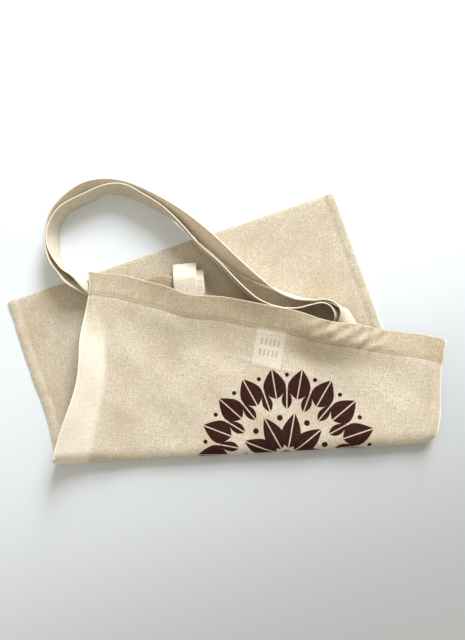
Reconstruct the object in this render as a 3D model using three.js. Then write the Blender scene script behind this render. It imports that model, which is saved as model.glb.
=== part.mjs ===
// A canvas tote bag, laid flat and folded once across its middle, as plain closed solids.
// Millimetres. +X runs along the fold, +Y away from it towards the bag's bottom, +Z up.
import * as THREE from "three";

// Driving dimensions.
const bagWidth = 380;
const bagHeight = 390;
const mouthToFoldLeft = 206; // along the left side seam
const mouthToFoldRight = 108; // along the right side seam
const cloth = 0.8; // one panel
const strap = 1.6; // one handle, two cloths thick
const air = 0.3; // between pieces that lie on each other
const strapWidth = 25;
const handleInset = 105; // from a side seam to the middle of a handle's end
const hemDepth = 25;
const seamAllowance = 10;
const edgeWall = 3; // side and bottom joins, seen in section
const pocketGap = 6.4; // between the two hems
const labelWidth = 30;
const labelLength = 45;
const labelSide = 183; // from the left side seam
const thread = 0.6;
const threadHeight = 0.4;

// Heights of the layers, from the table up.
const seamThickness = 0.9;
const lowerSeam = cloth + air;
const lowerBack = lowerSeam + seamThickness + air;
const tailLow = lowerBack + cloth + air;
const tailHigh = tailLow + strap + air;
const upperBack = tailHigh + strap + air;
const backHem = upperBack + cloth + air;
const backEnd = backHem + cloth + air;
const backStitch = backEnd + strap + air;
const frontHem = backHem + cloth + pocketGap;
const frontEnd = frontHem - air - strap;
const labelLevel = frontHem - air - 0.3;
const upperFront = frontHem + cloth + air;
const frontStitch = upperFront + cloth + air;

// The fold crosses the bag at this angle to the mouth.
const foldAngle = Math.atan((mouthToFoldLeft - mouthToFoldRight) / bagWidth);

const colours = {
  canvas: 0xd8caae,
  hem: 0xbfa684,
  webbing: 0xcfc3a8,
  thread: 0xe9e0cb,
  label: 0xf3efe4,
};

function material(kind) {
  return new THREE.MeshStandardMaterial({
    color: colours[kind],
    roughness: 0.95,
    metalness: 0,
  });
}

// A flat piece cut to a list of [x, y] corners, from one height up.
function plate(name, kind, corners, from, thickness, holes = []) {
  const outline = new THREE.Shape(corners.map(([x, y]) => new THREE.Vector2(x, y)));
  for (const hole of holes) {
    outline.holes.push(new THREE.Path(hole.map(([x, y]) => new THREE.Vector2(x, y))));
  }
  const geometry = new THREE.ExtrudeGeometry(outline, {
    depth: thickness,
    bevelEnabled: false,
  });
  const mesh = new THREE.Mesh(geometry, material(kind));
  mesh.name = name;
  mesh.position.z = from;
  return mesh;
}

function rectangle(x0, y0, x1, y1) {
  return [
    [x0, y0],
    [x1, y0],
    [x1, y1],
    [x0, y1],
  ];
}

// In a half's own plane, x runs along the bag's width from its left side seam.
// Where the fold meets a line at x, as a distance from the mouth.
function foldAt(x) {
  return mouthToFoldLeft + (x / bagWidth) * (mouthToFoldRight - mouthToFoldLeft);
}

// The part of the flat bag between two x and between the fold and an edge at y.
function towardsFold(x0, x1, edge, clearance) {
  return [
    [x0, -foldAt(x0) + clearance],
    [x1, -foldAt(x1) + clearance],
    [x1, edge],
    [x0, edge],
  ];
}

const foldClearance = 0.5;

// The mouth half lies on top, with its origin at the left end of the mouth and y out of the bag.
const mouthHalf = new THREE.Group();
mouthHalf.position.set(
  mouthToFoldLeft * Math.sin(foldAngle),
  mouthToFoldLeft * Math.cos(foldAngle),
  0,
);
mouthHalf.rotation.z = -foldAngle;

function addPanels() {
  const whole = towardsFold(0, bagWidth, 0, foldClearance);
  mouthHalf.add(plate("back_panel_upper", "canvas", whole, upperBack, cloth));
  mouthHalf.add(plate("front_panel_upper", "canvas", whole, upperFront, cloth));
}

// The side seams close the pocket from one panel to the other.
function addSideSeams() {
  const height = upperFront - air - backHem;
  const left = towardsFold(0, edgeWall, 0, foldClearance);
  const right = towardsFold(bagWidth - edgeWall, bagWidth, 0, foldClearance);
  mouthHalf.add(plate("left_seam_upper", "canvas", left, backHem, height));
  mouthHalf.add(plate("right_seam_upper", "canvas", right, backHem, height));
}

// Each panel's top edge is turned in once and sewn down with one long row of stitches.
function addHems() {
  const inset = edgeWall + air;
  const band = rectangle(inset, -hemDepth, bagWidth - inset, 0);
  const rowY = -hemDepth + 1.5;
  const row = rectangle(inset, rowY - thread / 2, bagWidth - inset, rowY + thread / 2);
  mouthHalf.add(plate("back_hem", "hem", band, backHem, cloth));
  mouthHalf.add(plate("front_hem", "hem", band, frontHem, cloth));
  mouthHalf.add(plate("back_hem_stitching", "thread", row, backEnd, threadHeight));
  mouthHalf.add(plate("front_hem_stitching", "thread", row, frontStitch, threadHeight));
}

function addCareLabel() {
  const top = -hemDepth + 6;
  const corners = rectangle(labelSide, top - labelLength, labelSide + labelWidth, top);
  mouthHalf.add(plate("care_label", "label", corners, labelLevel, 0.3));
}

// A square of stitches with a cross in it, as one ribbon of thread with four triangular holes.
function boxStitch(name, middleX, from) {
  const half = strapWidth / 2 - 3;
  const middleY = -3 - half;
  const at = (x, y) => [middleX + x, middleY + y];
  const outer = [at(-half, -half), at(half, -half), at(half, half), at(-half, half)];
  const near = thread;
  const far = half - thread;
  const reach = far - near * 0.7;
  const holes = [
    [at(-reach, far), at(reach, far), at(0, near)],
    [at(-reach, -far), at(0, -near), at(reach, -far)],
    [at(far, reach), at(far, -reach), at(near, 0)],
    [at(-far, reach), at(-near, 0), at(-far, -reach)],
  ];
  return plate(name, "thread", outer, from, threadHeight, holes);
}

const sewnLength = hemDepth - 3;
const leftTip = { front: 30, back: 25 }; // how far each left end stands out of the mouth
const rightTip = 4;

function addHandleEnds() {
  for (const side of ["front", "back"]) {
    const level = side === "front" ? frontEnd : backEnd;
    const stitch = side === "front" ? frontStitch : backStitch;
    const left = handleInset;
    const right = bagWidth - handleInset;
    const half = strapWidth / 2;
    const leftEnd = rectangle(left - half, -sewnLength, left + half, leftTip[side]);
    const rightEnd = rectangle(right - half, -sewnLength, right + half, rightTip);
    mouthHalf.add(plate(`${side}_handle_left_end`, "webbing", leftEnd, level, strap));
    mouthHalf.add(plate(`${side}_handle_right_end`, "webbing", rightEnd, level, strap));
    mouthHalf.add(boxStitch(`${side}_left_end_stitching`, left, stitch));
    mouthHalf.add(boxStitch(`${side}_right_end_stitching`, right, stitch));
  }
}

// Each handle folds back under the bag and runs out past the left side seam.
function addHandleTails() {
  for (const side of ["front", "back"]) {
    const level = side === "front" ? tailHigh : tailLow;
    const far = handleInset + strapWidth / 2;
    const near = handleInset - strapWidth / 2;
    const corners = [
      [1, -strapWidth - 1],
      [far, -strapWidth - 1],
      [far, leftTip[side]],
      [near, leftTip[side]],
      [near, -1],
      [1, -1],
    ];
    mouthHalf.add(plate(`${side}_handle_tail`, "webbing", corners, level, strap));
  }
}

// The bottom half lies on the table, mirrored over the fold.
const bottomHalf = new THREE.Group();
const bottomLeft = [
  -(bagHeight - mouthToFoldLeft) * Math.sin(foldAngle),
  (bagHeight - mouthToFoldLeft) * Math.cos(foldAngle),
];
bottomHalf.position.set(bottomLeft[0], bottomLeft[1], 0);
bottomHalf.rotation.z = foldAngle;

// As towardsFold, from the bag's bottom edge.
function fromBottom(x0, x1, edge, clearance) {
  return [
    [x0, -(bagHeight - foldAt(x0)) + clearance],
    [x1, -(bagHeight - foldAt(x1)) + clearance],
    [x1, edge],
    [x0, edge],
  ];
}

function addBottomHalf() {
  const whole = fromBottom(0, bagWidth, 0, foldClearance);
  const left = fromBottom(0, seamAllowance, -edgeWall - air, foldClearance);
  const right = fromBottom(bagWidth - seamAllowance, bagWidth, -edgeWall - air, foldClearance);
  const bottom = rectangle(0, -edgeWall, bagWidth, 0);
  bottomHalf.add(plate("front_panel_lower", "canvas", whole, 0, cloth));
  bottomHalf.add(plate("back_panel_lower", "canvas", whole, lowerBack, cloth));
  bottomHalf.add(plate("left_seam_lower", "canvas", left, lowerSeam, seamThickness));
  bottomHalf.add(plate("right_seam_lower", "canvas", right, lowerSeam, seamThickness));
  bottomHalf.add(plate("bottom_fold", "canvas", bottom, lowerSeam, seamThickness));
}

// The free part of each handle stands on its edge and runs from the left side round to the mouth.
const loopRoutes = {
  front: [
    [38, 182],
    [18, 197],
    [2, 218],
    [0, 242],
    [9, 268],
    [28, 289],
    [54, 301],
    [80, 301],
    [108, 291],
    [155, 258],
    [188, 228],
    [213, 200],
    [238, 179],
    [262, 165],
    [285, 160],
    [302, 157],
    [313, 153],
    [319, 147],
  ],
  back: [
    [40, 195],
    [23, 208],
    [11, 230],
    [11, 249],
    [23, 272],
    [48, 287],
    [80, 290],
    [110, 279],
    [153, 241],
    [191, 199],
    [230, 163],
    [262, 151.5],
    [285, 149.5],
    [303, 147],
  ],
};
const loopSteps = 72;

function handleLoop(side) {
  const knots = loopRoutes[side].map(([x, y]) => new THREE.Vector3(x, y, 0));
  const curve = new THREE.CatmullRomCurve3(knots, false, "centripetal");
  const outward = [];
  const inward = [];
  for (let i = 0; i <= loopSteps; i++) {
    const point = curve.getPointAt(i / loopSteps);
    const along = curve.getTangentAt(i / loopSteps);
    outward.push([point.x - (along.y * strap) / 2, point.y + (along.x * strap) / 2]);
    inward.unshift([point.x + (along.y * strap) / 2, point.y - (along.x * strap) / 2]);
  }
  const outline = outward.concat(inward);
  return plate(`${side}_handle_loop`, "webbing", outline, tailLow, strapWidth);
}

addPanels();
addSideSeams();
addHems();
addCareLabel();
addHandleEnds();
addHandleTails();
addBottomHalf();

const bag = new THREE.Group();
bag.add(bottomHalf, mouthHalf, handleLoop("front"), handleLoop("back"));

// The origin is under the middle of the whole bag.
const bounds = new THREE.Box3().setFromObject(bag, true);
bag.position.x = -(bounds.min.x + bounds.max.x) / 2;
bag.position.y = -(bounds.min.y + bounds.max.y) / 2;

const toteBag = new THREE.Group();
toteBag.add(bag);

export default toteBag;
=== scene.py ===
"""A canvas tote bag, laid flat and folded once across its middle: the look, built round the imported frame."""

import math

import bpy
import numpy as np
from mathutils import Matrix, Vector

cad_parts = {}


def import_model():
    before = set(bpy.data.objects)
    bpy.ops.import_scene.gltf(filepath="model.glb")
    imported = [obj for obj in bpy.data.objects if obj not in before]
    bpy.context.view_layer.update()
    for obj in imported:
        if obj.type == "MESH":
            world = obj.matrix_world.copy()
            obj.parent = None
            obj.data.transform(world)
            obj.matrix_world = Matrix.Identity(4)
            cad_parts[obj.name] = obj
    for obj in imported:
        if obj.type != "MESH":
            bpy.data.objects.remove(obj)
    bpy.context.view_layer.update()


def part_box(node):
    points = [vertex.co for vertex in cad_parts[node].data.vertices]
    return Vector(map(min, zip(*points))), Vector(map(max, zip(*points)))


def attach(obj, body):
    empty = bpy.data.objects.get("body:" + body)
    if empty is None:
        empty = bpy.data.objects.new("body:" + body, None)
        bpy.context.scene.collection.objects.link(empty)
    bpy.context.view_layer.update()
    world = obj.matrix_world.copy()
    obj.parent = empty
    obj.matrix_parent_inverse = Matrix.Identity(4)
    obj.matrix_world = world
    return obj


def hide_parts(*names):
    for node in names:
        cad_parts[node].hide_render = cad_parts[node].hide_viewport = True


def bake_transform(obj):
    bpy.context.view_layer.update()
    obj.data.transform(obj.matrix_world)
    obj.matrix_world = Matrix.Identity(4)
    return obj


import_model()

MM = 0.001

# ---------------------------------------------------------------------------------------------
# Driving dimensions, in millimetres. The bag's own axes have their origin at the left end of the
# fold: x along the fold, y away from it towards the bag's bottom, z up.
WIDTH = 380.0
VISIBLE_LEFT = 206.0  # mouth to fold along the left side, as it lies
VISIBLE_RIGHT = 108.0
FOLD_ANGLE = math.atan((VISIBLE_LEFT - VISIBLE_RIGHT) / WIDTH)
COS, SIN = math.cos(FOLD_ANGLE), math.sin(FOLD_ANGLE)
CLOTH = 0.5  # thickness
HEM = 25.0
STITCH_ROW = 23.5  # below the mouth
LENGTH = 398.0  # one panel from mouth to bottom, flat
STRAP_WIDTH = 25.0
STRAP = 1.2
HANDLE_INSET = 105.0

# The fold seen from the end: a flat ellipse, blunter above than below.
FOLD_EDGE = -1.0  # y of its foremost line
FOLD_MIDDLE = 7.0  # z of its foremost line
TOP_REACH = 14.0
BOTTOM_REACH = 5.0
INNER_EDGE = 6.0  # y of the back panel's fold, inside the front panel's
UPPER = 14.0  # z of the front panel's mouth half, before its own relief
LOWEST = 0.35  # z of the front panel's bottom half

fold_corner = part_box("front_panel_upper")[0]
ORIGIN = np.array([fold_corner[0], fold_corner[1] - 0.0005, 0.0])


def world(points):
    """Bag millimetres to the frame's metres."""
    return np.asarray(points, float) * MM + ORIGIN


def smooth(x):
    x = np.clip(x, 0.0, 1.0)
    return x * x * (3 - 2 * x)


def hill(x, middle, spread):
    return np.exp(-(((x - middle) / spread) ** 2))


# ---------------------------------------------------------------------------------------------
# Mesh code


def shell(name, points, uv, thickness, material):
    """A cloth: a grid of points, thickened to both sides along its normals. Its UV map is the flat cloth."""
    rows, columns = points.shape[:2]
    along = np.gradient(points, axis=0)
    across = np.gradient(points, axis=1)
    normal = np.cross(along, across)
    normal /= np.maximum(np.linalg.norm(normal, axis=2, keepdims=True), 1e-9)
    half = normal * thickness / 2
    both = np.concatenate([(points + half).reshape(-1, 3), (points - half).reshape(-1, 3)])
    index = np.arange(rows * columns).reshape(rows, columns)
    a, b = index[:-1, :-1].ravel(), index[1:, :-1].ravel()
    c, d = index[1:, 1:].ravel(), index[:-1, 1:].ravel()
    count = rows * columns
    faces = [np.stack([a, b, c, d], axis=1), np.stack([d, c, b, a], axis=1) + count]
    rim = np.concatenate([index[0, :], index[1:, -1], index[-1, -2::-1], index[-2:0:-1, 0]])
    after = np.roll(rim, -1)
    faces.append(np.stack([rim, after, after + count, rim + count], axis=1))
    faces = np.concatenate(faces)
    mesh = bpy.data.meshes.new(name)
    mesh.from_pydata(world(both).tolist(), [], faces.tolist())
    layer = mesh.uv_layers.new(name="cloth")
    flat = np.concatenate([uv.reshape(-1, 2), uv.reshape(-1, 2)]) * MM
    layer.data.foreach_set("uv", flat[faces.ravel()].astype(np.float32).ravel())
    mesh.polygons.foreach_set("use_smooth", np.ones(len(faces), bool))
    mesh.update()
    mesh.materials.append(material)
    piece = bpy.data.objects.new(name, mesh)
    bpy.context.scene.collection.objects.link(piece)
    return piece


# ---------------------------------------------------------------------------------------------
# The bag's cloth


def unfold(s, t):
    """From the cloth (s from the left side, t from the mouth) to x and the distance v from the fold line."""
    drop = VISIBLE_LEFT + TOP_SLACK - t
    x = s * COS + drop * SIN - TOP_SLACK * SIN
    v = drop * COS - s * SIN
    return x + side_shift(s, v), v


def side_shift(s, v):
    """The sides are not straight: the left bows inwards over the fold, the right outwards."""
    left = 12.0 * hill(v, 85, 55) + 7.5 * hill(v, -50, 70) + 3.8 * smooth((v + 12) / 30)
    left -= 6.0 * hill(v, 208, 14)
    right = 6.5 * hill(v, 26, 32) * smooth(v / 12)
    return left * np.exp(-((s / 50) ** 2)) + right * np.exp(-(((WIDTH - s) / 50) ** 2))


def quarter(reach, height, steps=64):
    """Arc length and offsets of a quarter ellipse, from its foremost point."""
    turn = np.linspace(0, math.pi / 2, steps)
    out = reach * (1 - np.cos(turn))
    up = height * np.sin(turn)
    length = np.concatenate([[0], np.cumsum(np.hypot(np.diff(out), np.diff(up)))])
    return length, out, up / height


TOP_ARC = quarter(TOP_REACH, UPPER - FOLD_MIDDLE)
BOTTOM_ARC = quarter(BOTTOM_REACH, FOLD_MIDDLE - LOWEST)
TOP_SLACK = TOP_ARC[0][-1] - TOP_REACH - FOLD_EDGE


def plan_y(v):
    """How far a point of the cloth lies from the fold line, once folded, on either half."""
    above = np.interp(v, TOP_ARC[0], TOP_ARC[1]) + np.maximum(v - TOP_ARC[0][-1], 0)
    below = np.interp(-v, BOTTOM_ARC[0], BOTTOM_ARC[1]) + np.maximum(-v - BOTTOM_ARC[0][-1], 0)
    return FOLD_EDGE + np.where(v >= 0, above, below)


def mouth_dip(s):
    """How far the front panel's edge hangs back from a straight mouth."""
    return (
        5.5 * hill(s, 113, 24)
        + 2.5 * hill(s, 195, 60)
        + 6.0 * hill(s, 258, 26)
        + 4.5 * hill(s, 312, 40)
        + 2.0 * hill(s, 372, 14)
        + 5.0 * np.exp(-(((WIDTH - s) / 3.5) ** 2))
        - 2.5 * hill(s, 34, 20)
    )


def back_pull(s):
    """How far the back panel's edge is drawn out by its folded handle."""
    return 16.0 * smooth((s - 34) / 46) * (1 - smooth((s - 112) / 22)) - 4.0


def waves(x, y, seed, lengths, heights):
    """A gentle, repeatable unevenness."""
    draw = np.random.default_rng(seed)
    total = np.zeros_like(x)
    for length, height in zip(lengths, heights):
        for _ in range(3):
            turn, shift = draw.uniform(0, math.pi), draw.uniform(0, 2 * math.pi)
            total += height * np.sin(
                2 * math.pi * (x * math.cos(turn) + y * math.sin(turn)) / length + shift
            )
    return total


def rim_band(t):
    return 23 + 17 * smooth((t - 60) / 140)


def flap_relief(s, t):
    """Height of the mouth half's front panel above its mean level."""
    depth = np.maximum(t, 0)
    side = np.clip(1 - s / rim_band(depth), 0, 1)
    h = 13.0 * side * smooth((depth - 30) / 50)
    # The mouth stands up on the handles' ends and the cloth slopes down from it.
    rise = (10.0 + 6.0 * hill(s, 175, 60)) * smooth((s - 4) / 60) * (1 - smooth((s - 205) / 85))
    h += rise * np.clip(1 - depth / 68, 0, 1) ** 2
    h += 2.5 * hill(s, 100, 34) * (1 - smooth((depth - 30) / 34))
    h += 15.0 * hill(s, 264, 38) * (1 - smooth((depth - 12) / 38))
    h += 4.5 * (1 - smooth((s - 10) / 60)) * (1 - smooth((depth - 30) / 50))
    h += 5.0 * (1 - smooth(s / 110)) * smooth((depth - 40) / 50)
    h -= 0.55 * hill(depth, STITCH_ROW, 1.6)
    h += 0.35 * (1 - smooth((depth - 22) / 3))
    h += 1.0 * hill(s, 196, 18) * hill(depth, 42, 26)
    h -= 1.6 * hill(s, 250, 16) * hill(depth, 38, 18)
    h -= 2.2 * np.exp(-(((WIDTH - s) / 5) ** 2))
    h += 1.5 * hill(s, WIDTH - 9, 5)
    h += 2.5 * np.exp(-((s / 26) ** 2)) * (1 - smooth((depth - 26) / 30))
    h -= 1.2 * np.exp(-((s / 3) ** 2)) * (1 - smooth((depth - 30) / 40))
    h += waves(s, depth, 11, (150, 85, 47, 26), (0.5, 0.4, 0.2, 0.07))
    # Short puckers where the right handle is sewn in.
    fan = smooth((s - 232) / 16) * (1 - smooth((s - 312) / 14)) * (1 - smooth((depth - 19) / 10))
    lean = s + 0.35 * depth
    h += fan * (0.45 * np.sin(lean / 1.9) + 0.6 * np.sin(lean / 3.3 + depth / 3.2))
    h += 2.2 * hill(lean, 283, 3.0) * (1 - smooth((depth - 20) / 8))
    h += 1.6 * hill(lean, 301, 2.6) * (1 - smooth((depth - 20) / 6))
    h += 1.4 * hill(s, 262, 7) * hill(depth, 10, 6)
    # Faint creases left by folding it smaller.
    h += 0.5 * hill(depth - 0.08 * s, 46, 1.6) * smooth((s - 150) / 30) * (1 - smooth((s - 262) / 40))
    h -= 0.4 * hill(s + 0.22 * depth, 118, 2.2) * smooth((depth - 62) / 30)
    return h


def lower_relief(s, t):
    """Height of the bottom half's back panel above its mean level."""
    up = LENGTH - t
    inwards = np.minimum(s, WIDTH - s)
    lumps = waves(t, t * 0.3, 23, (31, 17, 9), (0.09, 0.07, 0.05))
    seam = 1 - smooth((inwards - 8.2 - 2 * lumps) / 1.6)
    h = (0.95 + lumps) * seam - 0.3 * hill(inwards, 11.5, 2.0)
    h -= 1.2 * np.exp(-((inwards / 1.6) ** 2)) + 0.7 * np.exp(-((up / 2.0) ** 2))
    h += waves(s, t, 5, (160, 90, 48), (0.16, 0.14, 0.06))
    return np.minimum(h, 1.35)


def turned_edge(t, radius=0.5):
    """A hem turned under: how deep a point lies behind the edge, and how far below the cloth."""
    around = np.clip(-t / radius, 0, math.pi)
    depth = np.where(t >= 0, t, np.maximum(-t - math.pi * radius, 0))
    out = radius * np.sin(around)
    drop = radius * (1 - np.cos(around))
    return depth, out, drop


def side_profile(s):
    """0 at the side seams, 1 inside."""
    return smooth(np.minimum(s, WIDTH - s) / 26)


def front_panel_points(s, t):
    depth, out, drop = turned_edge(t)
    pulled = depth + mouth_dip(s) * (1 - smooth(depth / 70)) - out
    x, v = unfold(s, pulled)
    y = plan_y(v)
    top = UPPER + flap_relief(s, depth)
    rising = np.interp(v, TOP_ARC[0], TOP_ARC[2])
    falling = np.interp(-v, BOTTOM_ARC[0], BOTTOM_ARC[2])
    thin = 1 - 0.35 * np.exp(-(s / 28)) - 0.25 * np.exp(-((WIDTH - s) / 14))
    middle = LOWEST + (FOLD_MIDDLE - LOWEST) * thin
    z = np.where(v >= 0, middle + (top - middle) * rising, middle + (LOWEST - middle) * falling)
    return np.stack([x, y, z - drop], axis=2)


def back_panel_points(s, t):
    depth, out, drop = turned_edge(t)
    pulled = depth - back_pull(s) * (1 - smooth(depth / 60)) - out
    x, v = unfold(s, pulled)
    near = smooth(np.abs(v) / 22)
    y = INNER_EDGE * (1 - near) + plan_y(v) * near
    front = UPPER + flap_relief(s, depth)
    lift = 5.5 * hill(s, 98, 38) * np.exp(-((depth / 15) ** 2))
    inside = np.minimum(7.2 + lift + waves(s, t, 7, (140, 60), (0.2, 0.15)), front - 1.6)
    top = front - CLOTH - 0.15 + (inside - front + CLOTH + 0.15) * side_profile(s)
    low = 1.65 + lower_relief(s, t)
    turn = 0.5 + 0.5 * np.sin(np.clip(v / 9, -1, 1) * math.pi / 2)
    return np.stack([x, y, low + (top - low) * turn + drop], axis=2)


def cloth_grid(step):
    edge = np.array([0.0, 0.35, 0.9, 1.8, 3.0])
    inner = np.linspace(4.4, WIDTH - 4.4, int(WIDTH / step))
    s = np.concatenate([edge, inner, WIDTH - edge[::-1]])
    turned = np.array([-HEM, -HEM + 2, -HEM / 2, -6, -3, -1.6, -1.2, -0.8, -0.4, 0, 0.5, 1.2, 2.0])
    body = np.linspace(3.2, LENGTH - 4, int(LENGTH / step))
    t = np.concatenate([turned, body, LENGTH - np.array([3.0, 2.0, 1.0, 0.0])])
    return np.meshgrid(s, t, indexing="ij")


def make_panel(name, shape, material, step):
    s, t = cloth_grid(step)
    return shell(name, shape(s, t), np.stack([s, t], axis=2), CLOTH, material)


# ---------------------------------------------------------------------------------------------
# Handles


def spline(knots, count):
    """A smooth curve through the knots, as evenly spaced points (centripetal Catmull-Rom)."""
    knots = np.asarray(knots, float)
    ends = [2 * knots[0] - knots[1], *knots, 2 * knots[-1] - knots[-2]]
    pieces = []
    for p0, p1, p2, p3 in zip(ends, ends[1:], ends[2:], ends[3:]):
        t0 = 0.0
        t1 = t0 + np.linalg.norm(p1[:3] - p0[:3]) ** 0.5
        t2 = t1 + np.linalg.norm(p2[:3] - p1[:3]) ** 0.5
        t3 = t2 + np.linalg.norm(p3[:3] - p2[:3]) ** 0.5
        t = np.linspace(t1, t2, 24, endpoint=False)[:, None]
        a1 = (t1 - t) / (t1 - t0) * p0 + (t - t0) / (t1 - t0) * p1
        a2 = (t2 - t) / (t2 - t1) * p1 + (t - t1) / (t2 - t1) * p2
        a3 = (t3 - t) / (t3 - t2) * p2 + (t - t2) / (t3 - t2) * p3
        b1 = (t2 - t) / (t2 - t0) * a1 + (t - t0) / (t2 - t0) * a2
        b2 = (t3 - t) / (t3 - t1) * a2 + (t - t1) / (t3 - t1) * a3
        pieces.append((t2 - t) / (t2 - t1) * b1 + (t - t1) / (t2 - t1) * b2)
    fine = np.concatenate([*pieces, knots[-1:]])
    length = np.concatenate([[0], np.cumsum(np.linalg.norm(np.diff(fine[:, :3], axis=0), axis=1))])
    even = np.linspace(0, length[-1], count)
    return np.stack([np.interp(even, length, fine[:, k]) for k in range(fine.shape[1])], axis=1), length[-1]


def ribbon(name, knots, material, step=2.5):
    """A flat strap. Each knot is x and y of its upper edge, z of its lower edge and its lean:
    0 stands upright, 90 lies flat with the upper edge to the left of its way, -90 to the right."""
    knots = np.array(knots, float)
    knots[:, 2] += STRAP_WIDTH * np.cos(np.radians(knots[:, 3]))
    _, length = spline(knots, 8)
    count = int(length / step)
    line, length = spline(knots, count)
    edge = line[:, :3]
    way = np.gradient(edge, axis=0)
    way /= np.linalg.norm(way, axis=1, keepdims=True)
    left = np.cross([0.0, 0.0, 1.0], way)
    left /= np.maximum(np.linalg.norm(left, axis=1, keepdims=True), 1e-6)
    up = np.cross(way, left)
    lean = np.radians(line[:, 3])[:, None]
    width = up * np.cos(lean) + left * np.sin(lean)
    down = np.linspace(0, STRAP_WIDTH, 13)
    points = edge[:, None, :] - width[:, None, :] * down[None, :, None]
    u = np.linspace(0, length, count)
    uv = np.stack(np.broadcast_arrays(u[:, None], down[None, :]), axis=2)
    return shell(name, points, uv, STRAP, material), length


# The two handles, from under the mouth half on the left round to the mouth: x and y of the upper
# edge, z of the lower edge, and the lean.
FRONT_LOOP = [
    (68, 165, 7.4, 89),
    (54, 171.5, 6.4, 86),
    (44, 177, 4.8, 60),
    (36, 182.5, 3.6, 38),
    (27, 189, 2.6, 25),
    (18, 201, 0.8, 22),
    (9.6, 214, 0.7, 14),
    (5.6, 232, 0.7, 14),
    (5.4, 249, 0.7, 14),
    (10.9, 267, 0.7, 14),
    (25, 284, 0.7, 19),
    (48, 298, 0.7, 22),
    (73, 300.7, 0.7, 22),
    (97, 295, 0.7, 22),
    (122, 282, 0.8, 24),
    (155, 259, 1.4, 27),
    (186, 230, 3.0, 30),
    (210, 203, 3.2, 24),
    (233, 178, 3.2, 2),
    (250, 162.5, 3.2, -14),
    (268, 153.5, 3.2, -16),
    (285, 151, 3.2, -10),
    (299, 150.5, 3.2, -6),
    (308, 146, 3.8, -12),
    (312, 137, 6.0, -26),
    (309, 127, 10.0, -52),
    (303, 118, 12.8, -80),
    (298.5, 104, 12.6, -90),
]
BACK_LOOP = [
    (70, 165.5, 5.4, 90),
    (58, 169, 5.0, 85),
    (50, 174.5, 4.4, 66),
    (44.5, 182, 3.8, 38),
    (40, 189, 3.4, 20),
    (34, 196, 3.2, 10),
    (23, 204.5, 1.0, 2),
    (13, 219, 0.7, 0),
    (8, 232, 0.7, 0),
    (7.6, 246, 0.7, 0),
    (13.2, 261, 0.7, 0),
    (23.5, 273, 0.7, 0),
    (37, 280, 0.7, 0),
    (51, 285.5, 0.7, 0),
    (69, 292, 0.7, 0),
    (85, 293.5, 0.7, 0),
    (98, 290, 0.7, 0),
    (114, 279.5, 0.7, 0),
    (135, 263.5, 0.8, 0),
    (155, 241, 2.4, 0),
    (170, 221, 3.0, 2),
    (192, 198, 3.0, 4),
    (213, 173, 3.0, 8),
    (231, 155.5, 3.4, 10),
    (250, 146.5, 4.2, 10),
    (268, 144, 4.6, 2),
    (284, 146.5, 4.0, -4),
    (295, 147.5, 3.4, -8),
    (302.5, 143.5, 3.6, -14),
    (306, 134, 5.0, -32),
    (302, 123, 8.4, -70),
    (296, 106, 9.8, -90),
]


def mouth_point(s, t):
    """x and y of a point of the mouth half, as it lies."""
    return np.array([s * COS + (VISIBLE_LEFT - t) * SIN, (VISIBLE_LEFT - t) * COS - s * SIN])


def folded_end(name, level, low, tip, shift, material):
    """A handle's left end: sewn in the mouth, out over the edge, and folded sharply back under it."""
    out = np.array([-0.03, 1.0])
    across = np.array([1.0, 0.03])
    root = mouth_point(HANDLE_INSET + shift, 20)
    edge = mouth_point(HANDLE_INSET + shift, 0)
    path = []
    for k in np.linspace(0, 1, 8):
        path.append((*(root + (edge - root) * k), level + 0.4 * math.sin(k * math.pi)))
    for k in np.linspace(0.15, 1, 12):
        rise = 2.6 * math.sin(k * math.pi) - 6.0 * k
        path.append((*(edge + out * tip * k), level + rise))
    crown = np.array(path[-1])
    radius = (crown[2] - low) / 2
    for turn in np.linspace(0, math.pi, 10)[1:]:
        y = crown[1] + radius * 0.7 * math.sin(turn)
        path.append((crown[0], y, low + radius + radius * math.cos(turn)))
    for k in np.linspace(0.1, 1, 14):
        path.append((*(crown[:2] - out * (tip + 22) * k), low))
    path = np.array(path)
    length = np.concatenate([[0], np.cumsum(np.linalg.norm(np.diff(path, axis=0), axis=1))])
    offsets = np.linspace(-0.5, 0.5, 13) * STRAP_WIDTH
    width = np.array([across[0], across[1], 0.0])
    points = path[:, None, :] - width[None, None, :] * offsets[None, :, None]
    uv = np.stack(np.broadcast_arrays(length[:, None], (offsets + STRAP_WIDTH / 2)[None, :]), axis=2)
    return shell(name, points, uv, STRAP, material), length[-1]


def hidden_run(name, low, material):
    """The stretch of a handle under the mouth half, from its folded end to the left side."""
    near = mouth_point(HANDLE_INSET + 6, 25)
    knots = [(*near, low, 90)]
    for s in (84, 62, 40, 22, 8):
        knots.append((*mouth_point(s, 25 + (110 - s) * 0.04), low, 90))
    return ribbon(name, knots, material)


# ---------------------------------------------------------------------------------------------
# Stitches and the label


def flap_point(s, t, lift):
    points = front_panel_points(np.array([[s]], float), np.array([[t]], float))[0, 0]
    return points + np.array([0, 0, lift])


def inner_point(s, t, lift):
    points = back_panel_points(np.array([[s]], float), np.array([[t]], float))[0, 0]
    return points + np.array([0, 0, lift])


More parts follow.
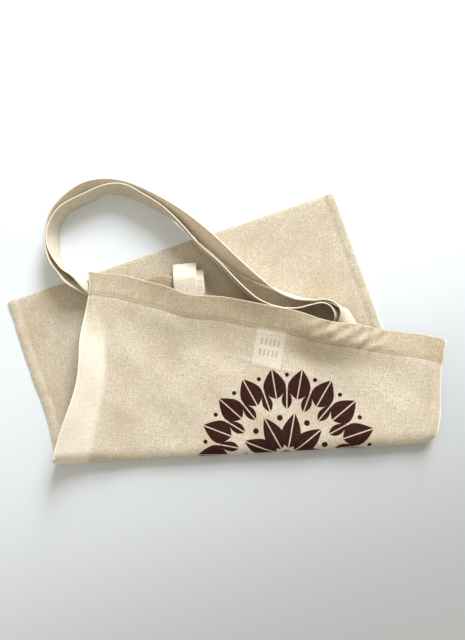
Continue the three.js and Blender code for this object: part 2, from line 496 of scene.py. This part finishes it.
def stitches(name, runs, surface, lift, material, pitch=3.2, gap=0.9, thick=0.42):
    """Short raised threads along straight runs of cloth points."""
    ring = 6
    stations = np.array([(-0.5, 0.25), (-0.36, 0.85), (0.0, 1.0), (0.36, 0.85), (0.5, 0.25)])
    vertices, faces = [], []
    for (s0, t0), (s1, t1) in runs:
        length = math.hypot(s1 - s0, t1 - t0)
        count = max(1, round(length / pitch))
        for k in range(count):
            a = (k + gap / pitch / 2) / count
            b = (k + 1 - gap / pitch / 2) / count
            start = surface(s0 + (s1 - s0) * a, t0 + (t1 - t0) * a, lift)
            end = surface(s0 + (s1 - s0) * b, t0 + (t1 - t0) * b, lift)
            way = end - start
            size = np.linalg.norm(way)
            way /= size
            side = np.cross([0, 0, 1.0], way)
            side /= np.linalg.norm(side)
            up = np.cross(way, side)
            first = len(vertices)
            for place, girth in stations:
                middle = (start + end) / 2 + way * size * place
                for i in range(ring):
                    turn = 2 * math.pi * i / ring
                    out = side * math.cos(turn) + up * math.sin(turn) * 0.7
                    vertices.append(middle + out * thick / 2 * girth)
            for j in range(len(stations) - 1):
                for i in range(ring):
                    a0, a1 = first + j * ring + i, first + j * ring + (i + 1) % ring
                    faces.append((a0, a1, a1 + ring, a0 + ring))
            faces.append(tuple(first + i for i in reversed(range(ring))))
            last = first + (len(stations) - 1) * ring
            faces.append(tuple(last + i for i in range(ring)))
    mesh = bpy.data.meshes.new(name)
    mesh.from_pydata(world(vertices).tolist(), [], faces)
    mesh.polygons.foreach_set("use_smooth", np.ones(len(faces), bool))
    mesh.update()
    mesh.materials.append(material)
    piece = bpy.data.objects.new(name, mesh)
    bpy.context.scene.collection.objects.link(piece)
    return piece


def box_runs(middle):
    """A square of stitches with a cross in it, at a handle's sewn end."""
    half = STRAP_WIDTH / 2 - 3
    low, high = 3.0, 3.0 + 2 * half
    corners = [(middle - half, low), (middle + half, low), (middle + half, high), (middle - half, high)]
    runs = list(zip(corners, corners[1:] + corners[:1]))
    return runs + [(corners[0], corners[2]), (corners[1], corners[3])]


def make_label(material):
    s, t = np.meshgrid(np.linspace(188, 218, 16), np.linspace(19, 64, 24), indexing="ij")
    points = front_panel_points(s, t)
    points[:, :, 2] -= 1.1 + 0.6 * smooth((t - 40) / 20)
    return shell("care_label_tape", points, np.stack([s - 188, t - 19], axis=2), 0.2, material)


# ---------------------------------------------------------------------------------------------
# Materials


class Nodes:
    """A short way to write a node tree."""

    def __init__(self, name):
        self.material = bpy.data.materials.new(name)
        self.material.use_nodes = True
        self.tree = self.material.node_tree
        self.tree.nodes.clear()
        self.output = self.tree.nodes.new("ShaderNodeOutputMaterial")

    def add(self, kind, inputs=None, **settings):
        node = self.tree.nodes.new(kind)
        for key, value in settings.items():
            setattr(node, key, value)
        for key, value in (inputs or {}).items():
            self.put(node.inputs[key], value)
        return node

    def put(self, socket, value):
        if isinstance(value, bpy.types.NodeSocket):
            self.tree.links.new(value, socket)
        else:
            socket.default_value = value

    def math(self, operation, a, b=0.0, clamp=False):
        node = self.add("ShaderNodeMath", {0: a, 1: b}, operation=operation, use_clamp=clamp)
        return node.outputs[0]

    def step(self, value, low, high):
        node = self.add(
            "ShaderNodeMapRange",
            {"Value": value, "From Min": low, "From Max": high},
            interpolation_type="SMOOTHSTEP",
        )
        return node.outputs[0]

    def noise(self, vector, scale, detail=3.0, rough=0.55):
        node = self.add(
            "ShaderNodeTexNoise",
            {"Vector": vector, "Scale": scale, "Detail": detail, "Roughness": rough},
        )
        return node.outputs["Fac"]

    def scaled(self, vector, factors):
        return self.add(
            "ShaderNodeVectorMath", {0: vector, 1: factors}, operation="MULTIPLY"
        ).outputs[0]

    def mix(self, factor, a, b, blend="MIX"):
        node = self.add("ShaderNodeMix", data_type="RGBA", blend_type=blend)
        self.put(node.inputs["Factor"], factor)
        self.put(node.inputs[6], a)
        self.put(node.inputs[7], b)
        return node.outputs[2]


def srgb(red, green, blue):
    """A colour given as 0 to 255, made linear."""
    return tuple(
        c / 255 / 12.92 if c / 255 <= 0.04045 else ((c / 255 + 0.055) / 1.055) ** 2.4
        for c in (red, green, blue)
    ) + (1.0,)


def woven(nodes, thread):
    """Colour variation and height of a plain weave on the UV map, with uneven yarns and dark flecks."""
    uv = nodes.add("ShaderNodeUVMap", uv_map="cloth").outputs[0]
    split = nodes.add("ShaderNodeSeparateXYZ", {0: uv})
    u, v = split.outputs[0], split.outputs[1]
    warp_yarn = nodes.noise(nodes.scaled(uv, (1 / thread, 90.0, 1.0)), 1.0, 2.0)
    weft_yarn = nodes.noise(nodes.scaled(uv, (90.0, 1 / thread, 1.0)), 1.0, 2.0)
    across = nodes.math("SINE", nodes.math("MULTIPLY", u, math.pi / thread))
    down = nodes.math("SINE", nodes.math("MULTIPLY", v, math.pi / thread))
    over = nodes.math("MULTIPLY", across, down)
    yarns = nodes.math("ADD", warp_yarn, weft_yarn)
    height = nodes.math("ADD", nodes.math("MULTIPLY", over, 0.35), nodes.math("MULTIPLY", yarns, 0.9))
    fine = nodes.noise(uv, 620.0, 3.0, 0.8)
    specks = nodes.noise(nodes.scaled(uv, (420.0, 300.0, 1.0)), 1.0, 1.0, 0.5)
    flecks = nodes.step(specks, 0.70, 0.76)
    cloud = nodes.noise(uv, 22.0, 3.0, 0.5)
    return uv, u, v, height, yarns, fine, flecks, cloud


def canvas_material(name, marks=None, thread=0.00085):
    """Natural linen and cotton canvas. marks adds to its colour: the doubled hem, a print, a label, and
    painted highlights and shade.
    """
    nodes = Nodes(name)
    uv, u, v, height, yarns, fine, flecks, cloud = woven(nodes, thread)
    pale = srgb(243, 235, 218)
    body = srgb(212, 200, 177)
    warm = srgb(204, 182, 148)
    colour = nodes.mix(nodes.step(yarns, 0.70, 1.30), body, pale)
    colour = nodes.mix(nodes.math("MULTIPLY", nodes.step(cloud, 0.40, 0.75), 0.45), colour, warm)
    grain = nodes.step(fine, 0.30, 0.70)
    colour = nodes.mix(nodes.math("MULTIPLY", grain, 0.50), colour, srgb(142, 124, 100))
    colour = nodes.mix(nodes.math("MULTIPLY", flecks, 0.45), colour, srgb(112, 88, 62))
    rough = 0.92
    if marks:
        colour, rough = marks(nodes, uv, u, v, colour, height)
    bump = nodes.add("ShaderNodeBump", {"Strength": 0.75, "Distance": 0.00026, "Height": height})
    shader = nodes.add(
        "ShaderNodeBsdfPrincipled",
        {"Base Color": colour, "Roughness": rough, "Normal": bump.outputs[0]},
    )
    shader.inputs["Specular IOR Level"].default_value = 0.18
    nodes.tree.links.new(shader.outputs[0], nodes.output.inputs[0])
    return nodes.material


def hem_tone_and_groove_shade(nodes, v, colour):
    """The mouth's doubled cloth is deeper in tone, and a painted shade line marks the groove where it is sewn
    down.
    """
    double = nodes.math("SUBTRACT", 1.0, nodes.step(v, (HEM - 1.5) * MM, (HEM + 0.3) * MM))
    colour = nodes.mix(
        nodes.math("MULTIPLY", double, 0.42), colour, srgb(236, 224, 204), "MULTIPLY"
    )
    # Painted shade: a dark line standing in for the shade in the stitched groove.
    off = nodes.math("ABSOLUTE", nodes.math("SUBTRACT", v, (HEM - 0.6) * MM))
    line = nodes.math("SUBTRACT", 1.0, nodes.step(off, 0.0003, 0.0011))
    return nodes.mix(nodes.math("MULTIPLY", line, 0.30), colour, srgb(110, 88, 62))


# A plain leaf rosette takes the place of the printed mark. Centre and sizes are on the flat cloth.
PRINT_CENTRE = (241.0, 151.0)
PRINT_RADIUS = 92.0


def leaves(nodes, angle, radius, count, inner, outer, fullness, shift=0.0):
    """A ring of pointed leaves, each split by a pale midrib."""
    turn = nodes.math("ADD", nodes.math("MULTIPLY", angle, count / (2 * math.pi)), shift)
    part = nodes.math("SUBTRACT", nodes.math("FRACT", turn), 0.5)
    way = nodes.math("DIVIDE", nodes.math("SUBTRACT", radius, inner * MM), (outer - inner) * MM)
    way = nodes.add("ShaderNodeClamp", {"Value": way}).outputs[0]
    bow = nodes.math("SINE", nodes.math("MULTIPLY", nodes.math("POWER", way, 0.8), math.pi))
    aside = nodes.math("MULTIPLY", nodes.math("ABSOLUTE", part), radius)
    aside = nodes.math("MULTIPLY", aside, 2 * math.pi / count)
    reach = nodes.math("MULTIPLY", bow, fullness * MM)
    leaf = nodes.step(nodes.math("SUBTRACT", reach, aside), 0.0, 0.0005)
    rib = nodes.step(aside, 0.0004, 0.0008)
    return nodes.math("MULTIPLY", leaf, rib)


def ring(nodes, radius, inner, outer):
    a = nodes.step(radius, (inner - 0.25) * MM, (inner + 0.25) * MM)
    b = nodes.step(radius, (outer - 0.25) * MM, (outer + 0.25) * MM)
    return nodes.math("MULTIPLY", a, nodes.math("SUBTRACT", 1.0, b))


def dots(nodes, angle, radius, count, middle, size, shift=0.0):
    turn = nodes.math("ADD", nodes.math("MULTIPLY", angle, count / (2 * math.pi)), shift)
    part = nodes.math("SUBTRACT", nodes.math("FRACT", turn), 0.5)
    aside = nodes.math("MULTIPLY", part, middle * MM * 2 * math.pi / count)
    away = nodes.math("SUBTRACT", radius, middle * MM)
    gap = nodes.math(
        "SQRT",
        nodes.math("ADD", nodes.math("MULTIPLY", aside, aside), nodes.math("MULTIPLY", away, away)),
    )
    return nodes.math("SUBTRACT", 1.0, nodes.step(gap, (size - 0.25) * MM, (size + 0.25) * MM))


def rosette(nodes, u, v):
    """1 where there is ink."""
    x = nodes.math("SUBTRACT", u, PRINT_CENTRE[0] * MM)
    y = nodes.math("SUBTRACT", v, PRINT_CENTRE[1] * MM)
    radius = nodes.math(
        "SQRT", nodes.math("ADD", nodes.math("MULTIPLY", x, x), nodes.math("MULTIPLY", y, y))
    )
    angle = nodes.math("ADD", nodes.math("ARCTAN2", y, x), math.pi)
    parts = [
        leaves(nodes, angle, radius, 18, 60.0, PRINT_RADIUS, 12.0),
        leaves(nodes, angle, radius, 18, 49.0, 72.0, 5.5, 0.5),
        leaves(nodes, angle, radius, 9, 10.0, 47.0, 10.5, 0.25),
        dots(nodes, angle, radius, 9, 41.0, 3.0, 0.75),
        dots(nodes, angle, radius, 18, 84.5, 2.2, 0.5),
        ring(nodes, radius, 0.0, 7.0),
    ]
    ink = parts[0]
    for part in parts[1:]:
        ink = nodes.math("MAXIMUM", ink, part)
    return ink


def label_ghost(nodes, u, v):
    """Where the care label shows through: its pale tape and the grey bars on it."""
    inside_u = nodes.math("ABSOLUTE", nodes.math("SUBTRACT", u, 0.203))
    inside_v = nodes.math("ABSOLUTE", nodes.math("SUBTRACT", v, 0.0435))
    tape = nodes.math(
        "MULTIPLY",
        nodes.math("SUBTRACT", 1.0, nodes.step(inside_u, 0.0142, 0.0158)),
        nodes.math("SUBTRACT", 1.0, nodes.step(inside_v, 0.0197, 0.0215)),
    )
    return tape, label_bars(nodes, u, v, 0.203, 0.042)


def label_bars(nodes, u, v, middle_u, middle_v):
    """Plain grey bars in place of washing instructions."""
    inside_u = nodes.math("ABSOLUTE", nodes.math("SUBTRACT", u, middle_u))
    inside_v = nodes.math("ABSOLUTE", nodes.math("SUBTRACT", v, middle_v))
    block = nodes.math(
        "MULTIPLY",
        nodes.math("SUBTRACT", 1.0, nodes.step(inside_u, 0.0095, 0.0105)),
        nodes.math("SUBTRACT", 1.0, nodes.step(inside_v, 0.0125, 0.0135)),
    )
    wave = nodes.math("SINE", nodes.math("MULTIPLY", u, 2 * math.pi / 0.0044))
    bars = nodes.math("MULTIPLY", block, nodes.step(wave, -0.2, 0.25))
    rows = nodes.math("SINE", nodes.math("MULTIPLY", v, 2 * math.pi / 0.0115))
    return nodes.math("MULTIPLY", bars, nodes.step(rows, -0.6, -0.3))


def side_rim_highlight(nodes, u, colour):
    """Painted highlight: the cloth is made paler where it turns over at the side seams, standing in for the
    light its rolled edges catch.
    """
    out = nodes.math("ABSOLUTE", nodes.math("SUBTRACT", u, WIDTH / 2 * MM))
    edge = nodes.step(out, (WIDTH / 2 - 2.2) * MM, (WIDTH / 2 - 0.5) * MM)
    return nodes.mix(nodes.math("MULTIPLY", edge, 0.65), colour, srgb(252, 247, 234))


def front_marks(nodes, uv, u, v, colour, height):
    # Painted highlight along the side seams, and painted shade along the hem's stitch line.
    colour = side_rim_highlight(nodes, u, hem_tone_and_groove_shade(nodes, v, colour))
    # Painted highlight: a paler band inside the left edge, standing in for the light on the raised left rim.
    inwards = nodes.math("SUBTRACT", u, nodes.math("MULTIPLY", v, 0.09))
    left_band_highlight = nodes.math("SUBTRACT", 1.0, nodes.step(inwards, 14 * MM, 25 * MM))
    left_band_highlight = nodes.math("MULTIPLY", left_band_highlight, nodes.step(v, 48 * MM, 80 * MM))
    colour = nodes.mix(nodes.math("MULTIPLY", left_band_highlight, 0.42), colour, srgb(255, 250, 238))
    tape, bars = label_ghost(nodes, u, v)
    colour = nodes.mix(nodes.math("MULTIPLY", tape, 0.34), colour, srgb(255, 250, 238))
    colour = nodes.mix(nodes.math("MULTIPLY", bars, 0.42), colour, srgb(120, 112, 98))
    # The ink sits on top of the yarns and misses a little of the lowest ones.
    ink = rosette(nodes, u, v)
    worn = nodes.step(height, 0.42, 0.60)
    ink = nodes.math("MULTIPLY", ink, nodes.math("ADD", 0.80, nodes.math("MULTIPLY", worn, 0.20)))
    colour = nodes.mix(ink, colour, srgb(50, 14, 8))
    rough = nodes.math("SUBTRACT", 0.92, nodes.math("MULTIPLY", ink, 0.22))
    return colour, rough


def back_marks(nodes, uv, u, v, colour, height):
    colour = nodes.mix(0.5, colour, srgb(242, 240, 238), "MULTIPLY")
    # Painted highlight along the side seams, and painted shade along the hem's stitch line.
    return side_rim_highlight(nodes, u, hem_tone_and_groove_shade(nodes, v, colour)), 0.92


def strap_marks(nodes, uv, u, v, colour, height):
    """A strap is a little paler than the bag, and its turned edges catch the light."""
    colour = nodes.mix(0.16, colour, srgb(250, 245, 234))
    across = nodes.math("ABSOLUTE", nodes.math("SUBTRACT", v, STRAP_WIDTH / 2 * MM))
    edge = nodes.step(across, (STRAP_WIDTH / 2 - 1.3) * MM, (STRAP_WIDTH / 2 - 0.4) * MM)
    return nodes.mix(nodes.math("MULTIPLY", edge, 0.55), colour, srgb(250, 244, 230)), 0.92


def end_highlight_marks(nodes, uv, u, v, colour, height):
    """A handle's folded end lies pressed flat; a painted highlight makes it nearly white towards its tip."""
    colour, rough = strap_marks(nodes, uv, u, v, colour, height)
    edge = nodes.math("ADD", u, nodes.math("MULTIPLY", nodes.noise(uv, 260.0, 2.0), 0.006))
    tip = nodes.step(edge, 34 * MM, 38 * MM)
    return nodes.mix(nodes.math("MULTIPLY", tip, 0.55), colour, srgb(255, 249, 233)), rough


def label_material():
    nodes = Nodes("label_tape")
    _, u, v, height, yarns = woven(nodes, 0.0004)[:5]
    colour = nodes.mix(nodes.step(yarns, 0.6, 1.4), srgb(232, 230, 222), srgb(250, 249, 244))
    bars = label_bars(nodes, u, v, 0.015, 0.022)
    colour = nodes.mix(nodes.math("MULTIPLY", bars, 0.75), colour, srgb(110, 108, 104))
    bump = nodes.add("ShaderNodeBump", {"Strength": 0.3, "Distance": 0.0001, "Height": height})
    shader = nodes.add(
        "ShaderNodeBsdfPrincipled",
        {"Base Color": colour, "Roughness": 0.6, "Normal": bump.outputs[0]},
    )
    nodes.tree.links.new(shader.outputs[0], nodes.output.inputs[0])
    return nodes.material


def thread_material():
    nodes = Nodes("thread")
    place = nodes.add("ShaderNodeTexCoord").outputs["Object"]
    twist = nodes.noise(place, 2600.0, 2.0)
    colour = nodes.mix(twist, srgb(196, 176, 142), srgb(238, 226, 202))
    bump = nodes.add("ShaderNodeBump", {"Strength": 0.4, "Distance": 0.0001, "Height": twist})
    shader = nodes.add(
        "ShaderNodeBsdfPrincipled",
        {"Base Color": colour, "Roughness": 0.75, "Normal": bump.outputs[0]},
    )
    nodes.tree.links.new(shader.outputs[0], nodes.output.inputs[0])
    return nodes.material


# ---------------------------------------------------------------------------------------------
# The pieces

front_canvas = canvas_material("front_canvas", front_marks)
back_canvas = canvas_material("back_canvas", back_marks)
strap_canvas = canvas_material("strap_canvas", strap_marks, thread=0.0007)
highlit_end_canvas = canvas_material("highlit_end_canvas", end_highlight_marks, thread=0.0007)
thread = thread_material()

CELL = 2.2


def build_panels():
    front = make_panel("front_panel", front_panel_points, front_canvas, CELL)
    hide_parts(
        "front_panel_upper", "front_panel_lower", "front_hem", "bottom_fold",
        "left_seam_upper", "right_seam_upper",
    )
    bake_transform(front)
    back = make_panel("back_panel", back_panel_points, back_canvas, CELL)
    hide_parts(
        "back_panel_upper", "back_panel_lower", "back_hem", "left_seam_lower", "right_seam_lower"
    )
    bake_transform(back)
    return front, back


def build_handles():
    for side, knots in (("front", FRONT_LOOP), ("back", BACK_LOOP)):
        loop, length = ribbon(f"{side}_handle", knots, strap_canvas)
        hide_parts(f"{side}_handle_loop", f"{side}_handle_right_end")
        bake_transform(loop)
        level, low, tip, shift = (18.0, 5.6, 27.5, 0.8) if side == "front" else (15.6, 4.2, 22.0, 8.3)
        end, length = folded_end(f"{side}_handle_end", level, low, tip, shift, highlit_end_canvas)
        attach(end, "upper_half")
        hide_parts(f"{side}_handle_left_end")
        run, length = hidden_run(f"{side}_handle_run", low, strap_canvas)
        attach(run, "upper_half")
        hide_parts(f"{side}_handle_tail")


def build_stitching():
    row = [((6, STITCH_ROW), (WIDTH - 6, STITCH_ROW))]
    pieces = [
        ("front_hem_row", row, flap_point, 0.42, "front_hem_stitching"),
        ("back_hem_row", row, inner_point, 1.42, "back_hem_stitching"),
    ]
    for side, surface, lift in (("front", flap_point, 0.36), ("back", inner_point, 1.42)):
        for end, middle in (("left", HANDLE_INSET), ("right", WIDTH - HANDLE_INSET)):
            pieces.append(
                (f"{side}_{end}_box", box_runs(middle), surface, lift, f"{side}_{end}_end_stitching")
            )
    for name, runs, surface, lift, node in pieces:
        piece = stitches(name, runs, surface, lift, thread)
        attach(piece, "upper_half")
        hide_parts(node)


def build_label():
    label = make_label(label_material())
    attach(label, "upper_half")
    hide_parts("care_label")


front, back = build_panels()
build_handles()
build_stitching()
build_label()

# ---------------------------------------------------------------------------------------------
# Floor, light and camera


def build_floor():
    mesh = bpy.data.meshes.new("floor")
    size = 6.0
    corners = [(-size, -size, 0), (size, -size, 0), (size, size, 0), (-size, size, 0)]
    mesh.from_pydata(corners, [], [(0, 1, 2, 3)])
    nodes = Nodes("pale_floor_painted_falloff")
    place = nodes.add("ShaderNodeNewGeometry").outputs["Position"]
    split = nodes.add("ShaderNodeSeparateXYZ", {0: place})
    # Painted shade: the floor darkens towards the bottom right, standing in for the fall-off of the window
    # light.
    slope = nodes.math("SUBTRACT", nodes.math("MULTIPLY", split.outputs[0], 0.42), split.outputs[1])
    near = nodes.step(slope, -0.06, 0.44)
    colour = nodes.mix(near, (0.79, 0.84, 0.89, 1.0), (0.42, 0.44, 0.445, 1.0))
    shader = nodes.add("ShaderNodeBsdfPrincipled", {"Base Color": colour, "Roughness": 0.8})
    nodes.tree.links.new(shader.outputs[0], nodes.output.inputs[0])
    mesh.materials.append(nodes.material)
    floor = bpy.data.objects.new("floor", mesh)
    bpy.context.scene.collection.objects.link(floor)


def area_light(name, place, aim, size, power, colour):
    data = bpy.data.lights.new(name, "AREA")
    data.size = size
    data.energy = power
    data.color = colour
    light = bpy.data.objects.new(name, data)
    light.location = place
    light.rotation_euler = (Vector(aim) - Vector(place)).to_track_quat("-Z", "Y").to_euler()
    bpy.context.scene.collection.objects.link(light)


def build_light():
    area_light("window", (1.25, 2.4, 1.8), (0.0, 0.0, 0.0), 1.3, 109.0, (0.92, 0.96, 1.0))
    area_light("low_window", (0.7, 2.3, 0.92), (0.0, 0.0, 0.0), 0.9, 33.0, (0.98, 0.97, 0.98))
    world_light = bpy.data.worlds.new("sky")
    world_light.use_nodes = True
    sky = world_light.node_tree.nodes["Background"]
    sky.inputs[0].default_value = (1.0, 0.93, 0.80, 1.0)
    sky.inputs[1].default_value = 0.58
    bpy.context.scene.world = world_light


def build_camera():
    """Nearly overhead, as a phone is held over a table."""
    place = (227.3, 78.3, 537.8)
    tilt, pan, roll = 6.49, 2.85, -4.0
    data = bpy.data.cameras.new("camera")
    data.sensor_width = 36.0
    data.lens = 28.17
    data.clip_start = 0.01
    camera = bpy.data.objects.new("camera", data)
    turn = (
        Matrix.Rotation(math.radians(tilt), 4, "X")
        @ Matrix.Rotation(math.radians(pan), 4, "Y")
        @ Matrix.Rotation(math.radians(roll), 4, "Z")
    )
    camera.matrix_world = Matrix.Translation(Vector(world(place))) @ turn
    bpy.context.scene.collection.objects.link(camera)
    bpy.context.scene.camera = camera


build_floor()
build_light()
build_camera()
bpy.context.scene.view_settings.view_transform = "Standard"
